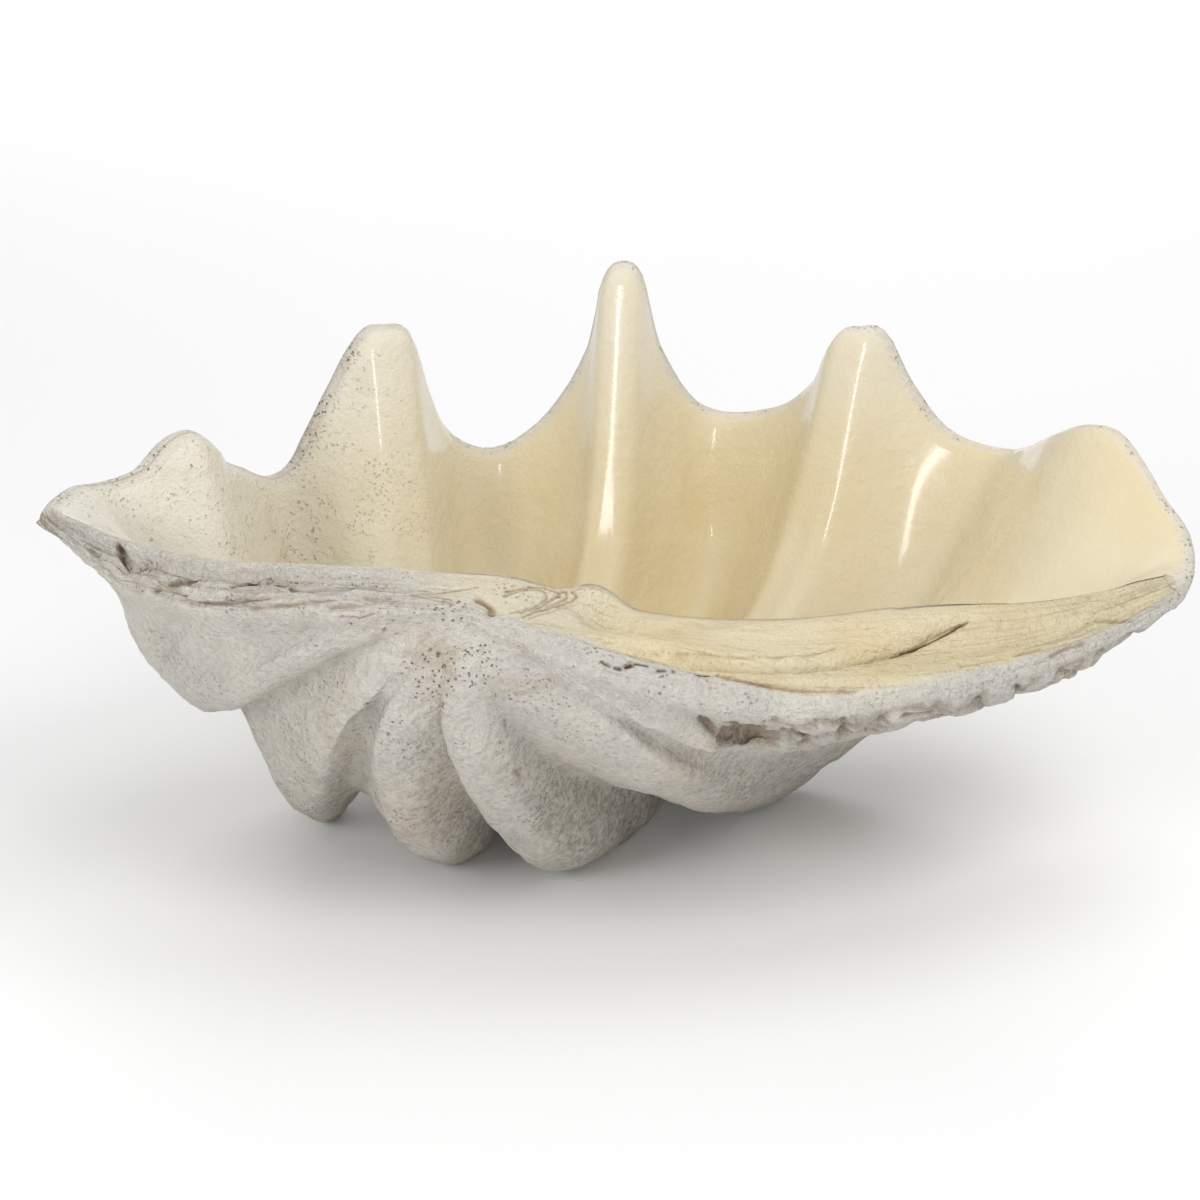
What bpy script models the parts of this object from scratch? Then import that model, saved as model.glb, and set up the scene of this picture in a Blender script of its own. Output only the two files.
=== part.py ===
# One valve of a fluted giant clam, lying hollow side up on the bellies of its ribs.
# x runs along the hinge, from the short end to the long end.
# y runs from the hinge, which faces the viewer, to the scalloped back lip.
# z runs up from the ground; the origin is the middle of the footprint.
import bpy
import numpy as np

# Driving dimensions, metres
ORIGIN_SHIFT = (-0.005, 0.0126, 0.0)   # centres the footprint on the origin
BEAK = (-0.105, -0.232, 0.258)         # where all ribs start on the outside
HOLLOW = (-0.070, -0.180, 0.262)       # where all channels start on the inside
RIB_COUNT = 6
LIP_ROUND = 0.9                    # height of the rounded lip, in half thicknesses
RIB_SHARPNESS = 1.7                # above 1: broad ribs and narrow grooves outside
RIDGE_SHARPNESS = 0.9              # below 1: broad ridges and narrow channels inside
LEDGE_COUNT = 9                    # growth ledges between beak and lip
LEDGE_HEIGHT = 0.004

# Mesh steps: round the lip, from beak to lip, across the rim and over the lip
ROUND_STEPS = 72
RAY_STEPS = 27
EDGE_STEPS = 8

# Each line runs on the outer face from the beak to the lip.
# Its four points are the front, the heel, the sole and the wall.
GROOVES = (
    # short end of the rim
    ((-0.160, -0.240, 0.260), (-0.215, -0.230, 0.255),
     (-0.275, -0.200, 0.245), (-0.330, -0.155, 0.245)),
    ((-0.175, -0.205, 0.215), (-0.235, -0.130, 0.155),
     (-0.265, -0.065, 0.140), (-0.285, -0.010, 0.180)),
    ((-0.155, -0.205, 0.175), (-0.175, -0.085, 0.070),
     (-0.165, 0.020, 0.035), (-0.165, 0.105, 0.120)),
    ((-0.110, -0.215, 0.175), (-0.085, -0.100, 0.055),
     (-0.050, 0.045, 0.030), (-0.010, 0.155, 0.130)),
    ((-0.075, -0.225, 0.190), (-0.015, -0.120, 0.090),
     (0.050, 0.015, 0.045), (0.140, 0.125, 0.125)),
    ((-0.020, -0.240, 0.205), (0.060, -0.199, 0.150),
     (0.150, -0.085, 0.105), (0.265, -0.005, 0.140)),
    # long end of the rim
    ((-0.045, -0.250, 0.235), (0.035, -0.255, 0.205),
     (0.130, -0.240, 0.180), (0.260, -0.190, 0.180)),
)
RIBS = (
    ((-0.200, -0.220, 0.225), (-0.262, -0.160, 0.170),
     (-0.305, -0.090, 0.150), (-0.335, -0.040, 0.180)),
    ((-0.180, -0.205, 0.165), (-0.215, -0.080, 0.055),
     (-0.212, 0.030, 0.000), (-0.240, 0.095, 0.080)),
    ((-0.150, -0.215, 0.155), (-0.125, -0.100, 0.020),
     (-0.100, 0.050, 0.000), (-0.095, 0.190, 0.080)),
    ((-0.095, -0.220, 0.150), (-0.035, -0.100, 0.015),
     (0.025, 0.060, 0.000), (0.080, 0.200, 0.090)),
    ((-0.030, -0.238, 0.196), (0.046, -0.190, 0.117),
     (0.115, 0.032, 0.005), (0.230, 0.105, 0.095)),
    ((-0.011, -0.248, 0.205), (0.072, -0.222, 0.157),
     (0.180, -0.163, 0.147), (0.315, -0.100, 0.170)),
)

# The lip, from the short end of the rim round the back to the long end.
# Every eighth point from the first is a tip, every eighth from the fifth a dip.
LIP = (
    (-0.382, -0.100, 0.268), (-0.378, -0.072, 0.267), (-0.371, -0.045, 0.264),
    (-0.363, -0.027, 0.258), (-0.354, -0.015, 0.255), (-0.342, -0.008, 0.257),
    (-0.330, 0.000, 0.262), (-0.317, 0.006, 0.277),
    (-0.302, 0.015, 0.282), (-0.291, 0.035, 0.268), (-0.285, 0.065, 0.245),
    (-0.271, 0.095, 0.226), (-0.253, 0.120, 0.211), (-0.233, 0.128, 0.225),
    (-0.211, 0.128, 0.270), (-0.188, 0.132, 0.315),
    (-0.170, 0.140, 0.320), (-0.153, 0.152, 0.311), (-0.139, 0.178, 0.257),
    (-0.122, 0.205, 0.214), (-0.092, 0.220, 0.198), (-0.057, 0.218, 0.220),
    (-0.023, 0.208, 0.274), (-0.009, 0.200, 0.334),
    (0.006, 0.200, 0.348), (0.022, 0.202, 0.335), (0.037, 0.215, 0.275),
    (0.062, 0.228, 0.233), (0.090, 0.230, 0.222), (0.124, 0.212, 0.233),
    (0.150, 0.188, 0.261), (0.167, 0.168, 0.303),
    (0.182, 0.160, 0.310), (0.198, 0.156, 0.307), (0.221, 0.155, 0.265),
    (0.249, 0.150, 0.231), (0.287, 0.140, 0.222), (0.303, 0.115, 0.233),
    (0.313, 0.090, 0.248), (0.324, 0.060, 0.265),
    (0.336, 0.035, 0.276), (0.351, 0.018, 0.277), (0.364, 0.000, 0.264),
    (0.377, -0.018, 0.244), (0.388, -0.035, 0.230), (0.391, -0.052, 0.221),
    (0.388, -0.070, 0.213), (0.382, -0.086, 0.209),
    (0.374, -0.100, 0.207),
)

# Inner edge of the rim, from the beak to the short and to the long end
CREST_SHORT = ((-0.135, -0.180, 0.267), (-0.200, -0.175, 0.268),
               (-0.265, -0.160, 0.266), (-0.320, -0.130, 0.267))
CREST_LONG = ((0.020, -0.172, 0.233), (0.105, -0.160, 0.223),
              (0.195, -0.145, 0.228), (0.285, -0.120, 0.222))
CREST_ENDS = ((-0.368, -0.090, 0.270), (0.368, -0.080, 0.222))

# Thickness of the shell at front, heel, sole, wall and lip
THICKNESS = (0.070, 0.058, 0.042, 0.030, 0.018)

# Rise across the rim, from its outer to its inner edge, at even steps
RISE_SHORT = (0.000, 0.006, 0.003, 0.006, 0.002, 0.005, 0.000)
RISE_LONG = (0.000, 0.014, 0.012, 0.004, 0.002, 0.004, 0.000)

# The ligament groove of the long side slants from the beak to the inner edge.
# Each point gives its place from beak to end and its place across the rim.
GROOVE_RUN = ((0.00, 0.50), (0.20, 0.20), (0.40, 0.20), (0.50, 0.27), (0.57, 0.40),
              (0.64, 0.60), (0.70, 0.80), (0.76, 0.84), (1.00, 0.50))
GROOVE_DEPTH = 0.004
PLATE_RISE = 0.006                 # height of the hinge plate above the groove

# Dents in the outer face: place round and along, spread round and along, depth.
# The first six are the hollows under the worn band of the long side.
DENTS = (
    (0.960, 0.41, 0.018, 0.022, 0.005),
    (0.925, 0.45, 0.024, 0.030, 0.010),
    (0.960, 0.52, 0.018, 0.030, 0.006),
    (0.950, 0.61, 0.018, 0.024, 0.008),
    (0.955, 0.69, 0.020, 0.022, 0.007),
    (0.955, 0.79, 0.020, 0.024, 0.005),
    (0.040, 0.62, 0.020, 0.030, 0.006),
    (0.080, 0.80, 0.025, 0.040, 0.006),
    (0.300, 0.20, 0.030, 0.040, 0.004),
)

# Scoops seen from above: middle, half widths along x and y, depth; below 0 it is a rise.
# They are the arched pocket beside the beak, its raised back and the crack near the end.
SCOOPS = (
    ((-0.002, -0.197), (0.027, 0.019), 0.014),
    ((-0.012, -0.172), (0.030, 0.018), -0.012),
    ((-0.316, -0.150), (0.016, 0.014), 0.008),
)


def spline(keys, at):
    """Smooth curve through the keys, read at places from 0 to the last key."""
    keys = np.asarray(keys, float)
    last = len(keys) - 1
    before = 2 * keys[:1] - keys[1:2]
    after = 2 * keys[-1:] - keys[-2:-1]
    padded = np.concatenate([before, keys, after])
    first = np.clip(np.floor(at).astype(int), 0, last - 1)
    t = (at - first).reshape((-1,) + (1,) * (keys.ndim - 1))
    a, b, c, d = (padded[first + k] for k in range(4))
    bend = (2 * a - 5 * b + 4 * c - d) * t ** 2
    turn = (3 * b - a - 3 * c + d) * t ** 3
    return 0.5 * (2 * b + (c - a) * t + bend + turn)


def ease(low, high, value):
    """Smooth step from 0 at low to 1 at high."""
    t = np.clip((value - low) / (high - low), 0.0, 1.0)
    return t * t * (3 - 2 * t)


def envelope(start, lines, place, ray):
    """Surface through lines of points that all begin at start."""
    keys = np.array([(start,) + tuple(line) for line in lines])
    across = spline(keys, place)
    along = spline(np.swapaxes(across, 0, 1), ray * (keys.shape[1] - 1))
    return np.swapaxes(along, 0, 1)


def folded(start, grooves, ribs, u, v, sharpness, fade):
    """Surface that swings between the line of grooves and the line of ribs."""
    low = envelope(start, grooves, u * RIB_COUNT, v)
    ends = (grooves[0],) + tuple(ribs) + (grooves[-1],)
    high = envelope(start, ends, u * RIB_COUNT + 0.5, v)
    wave = 0.5 + 0.5 * np.cos(2 * np.pi * RIB_COUNT * u[:, None])
    wave = wave ** sharpness[None, :]
    wave = 0.4 + (wave - 0.4) * fade[None, :]
    edge = ease(0.0, 0.08, u) * ease(0.0, 0.08, 1 - u)
    wave = 1 - (1 - wave) * edge[:, None]
    return high + (low - high) * wave[..., None]


def with_lip(lines, first):
    """Adds the lip point to every line; first is the place of the first one."""
    return tuple(line + (LIP[first + 8 * k],) for k, line in enumerate(lines))


def lining(line):
    """Line on the inside of the shell that goes with a line on the outside."""
    points = np.array((BEAK,) + line)
    along = np.gradient(points, axis=0)[1:]
    along = along / np.linalg.norm(along, axis=1)[:, None]
    points = points[1:]
    to_middle = -points[:, :2] / np.linalg.norm(points[:, :2], axis=1)[:, None]
    across = np.column_stack([to_middle, np.ones(len(points))])
    across[2, :2] = 0.0
    across = across - (across * along).sum(axis=1)[:, None] * along
    across = across / np.linalg.norm(across, axis=1)[:, None]
    across[0] = (to_middle[0, 0], to_middle[0, 1], 0.0)
    inner = points + across * np.array(THICKNESS)[:, None]
    return tuple(tuple(point) for point in inner)


def outer_folds(u, v):
    """Ribs and grooves of the outside, with the lip only roughly in place."""
    fade = 0.1 + 0.9 * ease(0.02, 0.2, v)
    lines = with_lip(GROOVES, 0)
    return folded(BEAK, lines, with_lip(RIBS, 4), u, v, RIB_SHARPNESS + 0 * v, fade)


def lip_shift(u, v):
    """Brings the end of every ray onto the lip."""
    rough = outer_folds(u, np.array([0.5, 1.0]))[:, -1]
    shift = spline(LIP, u * (len(LIP) - 1)) - rough
    return shift[:, None] * (v ** 3)[None, :, None]


def outer_face(u, v):
    """Outside of the shell, without its ledges."""
    return outer_folds(u, v) + lip_shift(u, v)


def inner_face(u, v):
    """Inside of the shell."""
    lines = [lining(line) for line in with_lip(GROOVES, 0)]
    ribs = [lining(line) for line in with_lip(RIBS, 4)]
    lines[0] = CREST_SHORT + (CREST_ENDS[0],)
    lines[-1] = CREST_LONG + (CREST_ENDS[1],)
    sharpness = RIDGE_SHARPNESS + (RIB_SHARPNESS - RIDGE_SHARPNESS) * ease(0.8, 1.0, v)
    fade = ease(0.0, 0.5, v)
    face = folded(HOLLOW, tuple(lines), tuple(ribs), u, v, sharpness, fade)
    return face + lip_shift(u, v)


def normals(face):
    """Outward unit normals of a grid of points."""
    by_u = np.gradient(face, axis=0)
    by_v = np.gradient(face, axis=1)
    n = np.cross(by_v, by_u)
    return n / np.maximum(np.linalg.norm(n, axis=2, keepdims=True), 1e-9)


def growth(u, v):
    """Height of ledges and dents on the outer face."""
    bend = 0.25 * np.sin(2 * np.pi * RIB_COUNT * u) + 0.3 * np.sin(9.0 * u + 1.0)
    phase = (v[None, :] * LEDGE_COUNT + bend[:, None]) % 1.0
    step = phase * ease(0.0, 0.35, 1 - phase)
    crest = (0.5 - 0.5 * np.cos(2 * np.pi * RIB_COUNT * u)) * ease(0.05, 0.3, u)
    where = ease(0.15, 0.45, v) * (1 - ease(0.85, 1.0, v))
    height = LEDGE_HEIGHT * (step - 0.4) * crest[:, None] * where[None, :]
    for place, ray, wide, long, depth in DENTS:
        far = ((u[:, None] - place) / wide) ** 2 + ((v[None, :] - ray) / long) ** 2
        height = height - depth * np.exp(-far)
    return height


def across(v, steps):
    """Places across the long rim; the middle row of them follows the ligament groove."""
    place, run = np.array(GROOVE_RUN).T
    middle = np.interp(v, place, run)[None, :]
    s = np.linspace(0.0, 1.0, steps + 1)[:, None]
    return np.where(s < 0.5, 2 * s * middle, middle + (2 * s - 1) * (1 - middle))


def rim(outer_edge, inner_edge, v, w, rises):
    """Hinge side of the rim between the outer and the inner edge."""
    flat = outer_edge[None] * (1 - w[..., None]) + inner_edge[None] * w[..., None]
    rise = spline(np.array(rises)[:, None], w.ravel() * (len(rises) - 1))[:, 0]
    fade = ease(0.02, 0.35, v) * (1 - ease(0.75, 0.97, v))
    flat[..., 2] += rise.reshape(w.shape) * fade[None, :]
    return flat


def plate(v, w):
    """Height of the hinge plate and depth of the ligament groove along its front."""
    place, run = np.array(GROOVE_RUN).T
    past = w - np.interp(v, place, run)[None, :]
    fade = ease(0.15, 0.32, v) * (1 - ease(0.66, 0.76, v))
    raised = PLATE_RISE * ease(0.0, 0.10, past) * ease(0.0, 0.30, 1 - w)
    groove = GROOVE_DEPTH * np.exp(-(past / 0.04) ** 2) * ease(0.0, 0.1, w) * ease(0.0, 0.1, 1 - w)
    return (raised - groove) * fade[None, :]


def scooped(points):
    """Points of the skin with the scoops pressed in from above."""
    depth = 0.0
    for middle, wide, deep in SCOOPS:
        far = np.linalg.norm((points[:, :2] - middle) / wide, axis=1)
        depth = depth + deep * (1 - ease(0.0, 1.0, far)) * ease(0.225, 0.240, points[:, 2])
    points[:, 2] -= depth
    return points


class Skin:
    """Collects points and faces; equal points are shared."""

    def __init__(self):
        self.points = []
        self.numbers = {}
        self.faces = []

    def number(self, point):
        key = tuple(round(float(c), 6) + 0.0 for c in point)
        if key not in self.numbers:
            self.numbers[key] = len(self.points)
            self.points.append(key)
        return self.numbers[key]

    def add(self, grid, flip):
        rows = [[self.number(p) for p in row] for row in grid]
        for i in range(len(rows) - 1):
            for j in range(len(rows[0]) - 1):
                ring = [rows[i][j], rows[i + 1][j], rows[i + 1][j + 1], rows[i][j + 1]]
                ring = [a for k, a in enumerate(ring) if a != ring[k - 1]]
                if len(ring) >= 3:
                    self.faces.append(ring[::-1] if flip else ring)


def shell_skin(round_steps, ray_steps, edge_steps):
    """Closed skin of the whole valve."""
    u = np.linspace(0.0, 1.0, round_steps + 1)
    v = np.linspace(0.0, 1.0, ray_steps + 1)
    outside = outer_face(u, v)
    inside = inner_face(u, v)
    height = growth(u, v) * ease(0.0, 0.02, v)[None, :] * ease(0.0, 0.03, 1 - v)[None, :]
    height = height * (ease(0.0, 0.02, u) * ease(0.0, 0.02, 1 - u))[:, None]
    outside = outside + normals(outside) * height[..., None]
    outside[..., 2] = np.maximum(outside[..., 2], 0.0)
    even = np.linspace(0.0, 1.0, edge_steps + 1)
    w = even[:, None] + 0 * v[None, :]
    short = rim(outside[0], inside[0], v, w, RISE_SHORT)
    w = across(v, edge_steps)
    long = rim(outside[-1], inside[-1], v, w, RISE_LONG)
    long[..., 2] += plate(v, w)

    # The lip is a rounded edge that follows the wall upwards.
    s = even[None, :, None]
    low = outside[:, -1][:, None]
    high = inside[:, -1][:, None]
    up = (outside[:, -1] - outside[:, -2]) + (inside[:, -1] - inside[:, -2])
    up = up / np.linalg.norm(up, axis=1)[:, None]
    half = np.linalg.norm(high - low, axis=2)[:, :, None] / 2
    edge = low * (1 - s) + high * s + up[:, None] * half * LIP_ROUND * np.sin(np.pi * s)
    edge[0] = short[:, -1]
    edge[-1] = long[:, -1]

    skin = Skin()
    skin.add(outside, True)
    skin.add(inside, False)
    skin.add(short, False)
    skin.add(long, True)
    skin.add(edge, True)
    return skin


def main():
    for item in list(bpy.data.objects):
        bpy.data.objects.remove(item, do_unlink=True)
    skin = shell_skin(ROUND_STEPS, RAY_STEPS, EDGE_STEPS)
    moved = (scooped(np.array(skin.points)) + ORIGIN_SHIFT).tolist()
    mesh = bpy.data.meshes.new("shell")
    mesh.from_pydata(moved, [], skin.faces)
    mesh.update()
    shell = bpy.data.objects.new("shell", mesh)
    bpy.context.scene.collection.objects.link(shell)
    look = bpy.data.materials.new("shell")
    look.use_nodes = True
    surface = look.node_tree.nodes["Principled BSDF"]
    surface.inputs["Base Color"].default_value = (0.78, 0.72, 0.58, 1.0)
    surface.inputs["Roughness"].default_value = 0.45
    mesh.materials.append(look)


main()
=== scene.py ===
import math
import bmesh
import bpy
import numpy as np
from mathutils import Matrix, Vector


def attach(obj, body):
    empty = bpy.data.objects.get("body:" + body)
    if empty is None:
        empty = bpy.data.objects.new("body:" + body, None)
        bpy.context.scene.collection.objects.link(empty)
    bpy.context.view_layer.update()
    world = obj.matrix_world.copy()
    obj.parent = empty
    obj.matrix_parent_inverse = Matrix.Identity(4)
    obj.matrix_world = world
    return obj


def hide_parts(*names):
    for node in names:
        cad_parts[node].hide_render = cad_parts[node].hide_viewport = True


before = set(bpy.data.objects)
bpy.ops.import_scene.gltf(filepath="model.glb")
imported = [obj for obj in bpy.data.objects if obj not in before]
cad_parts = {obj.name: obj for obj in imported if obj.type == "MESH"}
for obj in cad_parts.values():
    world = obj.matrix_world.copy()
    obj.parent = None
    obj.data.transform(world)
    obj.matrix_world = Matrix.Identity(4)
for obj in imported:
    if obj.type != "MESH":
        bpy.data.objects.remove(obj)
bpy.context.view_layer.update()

# The shell's own dimensions, in metres, as the solid has them
ORIGIN_SHIFT = (-0.005, 0.0126, 0.0)   # centres the footprint on the origin
BEAK = (-0.105, -0.232, 0.258)         # where all ribs start on the outside
HOLLOW = (-0.070, -0.180, 0.262)       # where all channels start on the inside
RIB_COUNT = 6
LIP_ROUND = 0.9                    # height of the rounded lip, in half thicknesses
RIB_SHARPNESS = 1.7                # above 1: broad ribs and narrow grooves outside
RIDGE_SHARPNESS = 0.9              # below 1: broad ridges and narrow channels inside
LEDGE_COUNT = 9                    # growth ledges between beak and lip
LEDGE_HEIGHT = 0.004

# Mesh steps: round the lip, from beak to lip, across the rim and over the lip
ROUND_STEPS, RAY_STEPS, EDGE_STEPS = 204, 120, 30

# Each line runs on the outer face from the beak to the lip.
# Its four points are the front, the heel, the sole and the wall.
GROOVES = (
    # short end of the rim
    ((-0.160, -0.240, 0.260), (-0.215, -0.230, 0.255),
     (-0.275, -0.200, 0.245), (-0.330, -0.155, 0.245)),
    ((-0.175, -0.205, 0.215), (-0.235, -0.130, 0.155),
     (-0.265, -0.065, 0.140), (-0.285, -0.010, 0.180)),
    ((-0.155, -0.205, 0.175), (-0.175, -0.085, 0.070),
     (-0.165, 0.020, 0.035), (-0.165, 0.105, 0.120)),
    ((-0.110, -0.215, 0.175), (-0.085, -0.100, 0.055),
     (-0.050, 0.045, 0.030), (-0.010, 0.155, 0.130)),
    ((-0.075, -0.225, 0.190), (-0.015, -0.120, 0.090),
     (0.050, 0.015, 0.045), (0.140, 0.125, 0.125)),
    ((-0.020, -0.240, 0.205), (0.060, -0.199, 0.150),
     (0.150, -0.085, 0.105), (0.265, -0.005, 0.140)),
    # long end of the rim
    ((-0.045, -0.250, 0.235), (0.035, -0.255, 0.205),
     (0.130, -0.240, 0.180), (0.260, -0.190, 0.180)),
)
RIBS = (
    ((-0.200, -0.220, 0.225), (-0.262, -0.160, 0.170),
     (-0.305, -0.090, 0.150), (-0.335, -0.040, 0.180)),
    ((-0.180, -0.205, 0.165), (-0.215, -0.080, 0.055),
     (-0.212, 0.030, 0.000), (-0.240, 0.095, 0.080)),
    ((-0.150, -0.215, 0.155), (-0.125, -0.100, 0.020),
     (-0.100, 0.050, 0.000), (-0.095, 0.190, 0.080)),
    ((-0.095, -0.220, 0.150), (-0.035, -0.100, 0.015),
     (0.025, 0.060, 0.000), (0.080, 0.200, 0.090)),
    ((-0.030, -0.238, 0.196), (0.046, -0.190, 0.117),
     (0.115, 0.032, 0.005), (0.230, 0.105, 0.095)),
    ((-0.011, -0.248, 0.205), (0.072, -0.222, 0.157),
     (0.180, -0.163, 0.147), (0.315, -0.100, 0.170)),
)

# The lip, from the short end of the rim round the back to the long end.
# Every eighth point from the first is a tip, every eighth from the fifth a dip.
LIP = (
    (-0.382, -0.100, 0.268), (-0.378, -0.072, 0.267), (-0.371, -0.045, 0.264),
    (-0.363, -0.027, 0.258), (-0.354, -0.015, 0.255), (-0.342, -0.008, 0.257),
    (-0.330, 0.000, 0.262), (-0.317, 0.006, 0.277),
    (-0.302, 0.015, 0.282), (-0.291, 0.035, 0.268), (-0.285, 0.065, 0.245),
    (-0.271, 0.095, 0.226), (-0.253, 0.120, 0.211), (-0.233, 0.128, 0.225),
    (-0.211, 0.128, 0.270), (-0.188, 0.132, 0.315),
    (-0.170, 0.140, 0.320), (-0.153, 0.152, 0.311), (-0.139, 0.178, 0.257),
    (-0.122, 0.205, 0.214), (-0.092, 0.220, 0.198), (-0.057, 0.218, 0.220),
    (-0.023, 0.208, 0.274), (-0.009, 0.200, 0.334),
    (0.006, 0.200, 0.348), (0.022, 0.202, 0.335), (0.037, 0.215, 0.275),
    (0.062, 0.228, 0.233), (0.090, 0.230, 0.222), (0.124, 0.212, 0.233),
    (0.150, 0.188, 0.261), (0.167, 0.168, 0.303),
    (0.182, 0.160, 0.310), (0.198, 0.156, 0.307), (0.221, 0.155, 0.265),
    (0.249, 0.150, 0.231), (0.287, 0.140, 0.222), (0.303, 0.115, 0.233),
    (0.313, 0.090, 0.248), (0.324, 0.060, 0.265),
    (0.336, 0.035, 0.276), (0.351, 0.018, 0.277), (0.364, 0.000, 0.264),
    (0.377, -0.018, 0.244), (0.388, -0.035, 0.230), (0.391, -0.052, 0.221),
    (0.388, -0.070, 0.213), (0.382, -0.086, 0.209),
    (0.374, -0.100, 0.207),
)

# Inner edge of the rim, from the beak to the short and to the long end
CREST_SHORT = ((-0.135, -0.180, 0.267), (-0.200, -0.175, 0.268),
               (-0.265, -0.160, 0.266), (-0.320, -0.130, 0.267))
CREST_LONG = ((0.020, -0.172, 0.233), (0.105, -0.160, 0.223),
              (0.195, -0.145, 0.228), (0.285, -0.120, 0.222))
CREST_ENDS = ((-0.368, -0.090, 0.270), (0.368, -0.080, 0.222))

# Thickness of the shell at front, heel, sole, wall and lip
THICKNESS = (0.070, 0.058, 0.042, 0.030, 0.018)

# Rise across the rim, from its outer to its inner edge, at even steps
RISE_SHORT = (0.000, 0.006, 0.003, 0.006, 0.002, 0.005, 0.000)
RISE_LONG = (0.000, 0.014, 0.012, 0.004, 0.002, 0.004, 0.000)

# The ligament groove of the long side slants from the beak to the inner edge.
# Each point gives its place from beak to end and its place across the rim.
GROOVE_RUN = ((0.00, 0.50), (0.20, 0.20), (0.40, 0.20), (0.50, 0.27), (0.57, 0.40),
              (0.64, 0.60), (0.70, 0.80), (0.76, 0.84), (1.00, 0.50))
GROOVE_DEPTH = 0.004
PLATE_RISE = 0.006                 # height of the hinge plate above the groove

# Dents in the outer face: place round and along, spread round and along, depth.
# The first six are the hollows under the worn band of the long side.
DENTS = (
    (0.960, 0.41, 0.018, 0.022, 0.005),
    (0.925, 0.45, 0.024, 0.030, 0.010),
    (0.960, 0.52, 0.018, 0.030, 0.006),
    (0.950, 0.61, 0.018, 0.024, 0.008),
    (0.955, 0.69, 0.020, 0.022, 0.007),
    (0.955, 0.79, 0.020, 0.024, 0.005),
    (0.040, 0.62, 0.020, 0.030, 0.006),
    (0.080, 0.80, 0.025, 0.040, 0.006),
    (0.300, 0.20, 0.030, 0.040, 0.004),
)

# Scoops seen from above: middle, half widths along x and y, depth; below 0 it is a rise.
# They are the arched pocket beside the beak, its raised back and the crack near the end.
SCOOPS = (
    ((-0.002, -0.197), (0.027, 0.019), 0.014),
    ((-0.012, -0.172), (0.030, 0.018), -0.012),
    ((-0.316, -0.150), (0.016, 0.014), 0.008),
)


def spline(keys, at):
    """Smooth curve through the keys, read at places from 0 to the last key."""
    keys = np.asarray(keys, float)
    last = len(keys) - 1
    before = 2 * keys[:1] - keys[1:2]
    after = 2 * keys[-1:] - keys[-2:-1]
    padded = np.concatenate([before, keys, after])
    first = np.clip(np.floor(at).astype(int), 0, last - 1)
    t = (at - first).reshape((-1,) + (1,) * (keys.ndim - 1))
    a, b, c, d = (padded[first + k] for k in range(4))
    bend = (2 * a - 5 * b + 4 * c - d) * t ** 2
    turn = (3 * b - a - 3 * c + d) * t ** 3
    return 0.5 * (2 * b + (c - a) * t + bend + turn)


def ease(low, high, value):
    """Smooth step from 0 at low to 1 at high."""
    t = np.clip((value - low) / (high - low), 0.0, 1.0)
    return t * t * (3 - 2 * t)


def envelope(start, lines, place, ray):
    """Surface through lines of points that all begin at start."""
    keys = np.array([(start,) + tuple(line) for line in lines])
    across = spline(keys, place)
    along = spline(np.swapaxes(across, 0, 1), ray * (keys.shape[1] - 1))
    return np.swapaxes(along, 0, 1)


def folded(start, grooves, ribs, u, v, sharpness, fade):
    """Surface that swings between the line of grooves and the line of ribs."""
    low = envelope(start, grooves, u * RIB_COUNT, v)
    ends = (grooves[0],) + tuple(ribs) + (grooves[-1],)
    high = envelope(start, ends, u * RIB_COUNT + 0.5, v)
    wave = 0.5 + 0.5 * np.cos(2 * np.pi * RIB_COUNT * u[:, None])
    wave = wave ** sharpness[None, :]
    wave = 0.4 + (wave - 0.4) * fade[None, :]
    edge = ease(0.0, 0.08, u) * ease(0.0, 0.08, 1 - u)
    wave = 1 - (1 - wave) * edge[:, None]
    return high + (low - high) * wave[..., None]


def with_lip(lines, first):
    """Adds the lip point to every line; first is the place of the first one."""
    return tuple(line + (LIP[first + 8 * k],) for k, line in enumerate(lines))


def lining(line):
    """Line on the inside of the shell that goes with a line on the outside."""
    points = np.array((BEAK,) + line)
    along = np.gradient(points, axis=0)[1:]
    along = along / np.linalg.norm(along, axis=1)[:, None]
    points = points[1:]
    to_middle = -points[:, :2] / np.linalg.norm(points[:, :2], axis=1)[:, None]
    across = np.column_stack([to_middle, np.ones(len(points))])
    across[2, :2] = 0.0
    across = across - (across * along).sum(axis=1)[:, None] * along
    across = across / np.linalg.norm(across, axis=1)[:, None]
    across[0] = (to_middle[0, 0], to_middle[0, 1], 0.0)
    inner = points + across * np.array(THICKNESS)[:, None]
    return tuple(tuple(point) for point in inner)


def outer_folds(u, v):
    """Ribs and grooves of the outside, with the lip only roughly in place."""
    fade = 0.1 + 0.9 * ease(0.02, 0.2, v)
    lines = with_lip(GROOVES, 0)
    return folded(BEAK, lines, with_lip(RIBS, 4), u, v, RIB_SHARPNESS + 0 * v, fade)


def lip_shift(u, v):
    """Brings the end of every ray onto the lip."""
    rough = outer_folds(u, np.array([0.5, 1.0]))[:, -1]
    shift = spline(LIP, u * (len(LIP) - 1)) - rough
    return shift[:, None] * (v ** 3)[None, :, None]


def outer_face(u, v):
    """Outside of the shell, without its ledges."""
    return outer_folds(u, v) + lip_shift(u, v)


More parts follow.
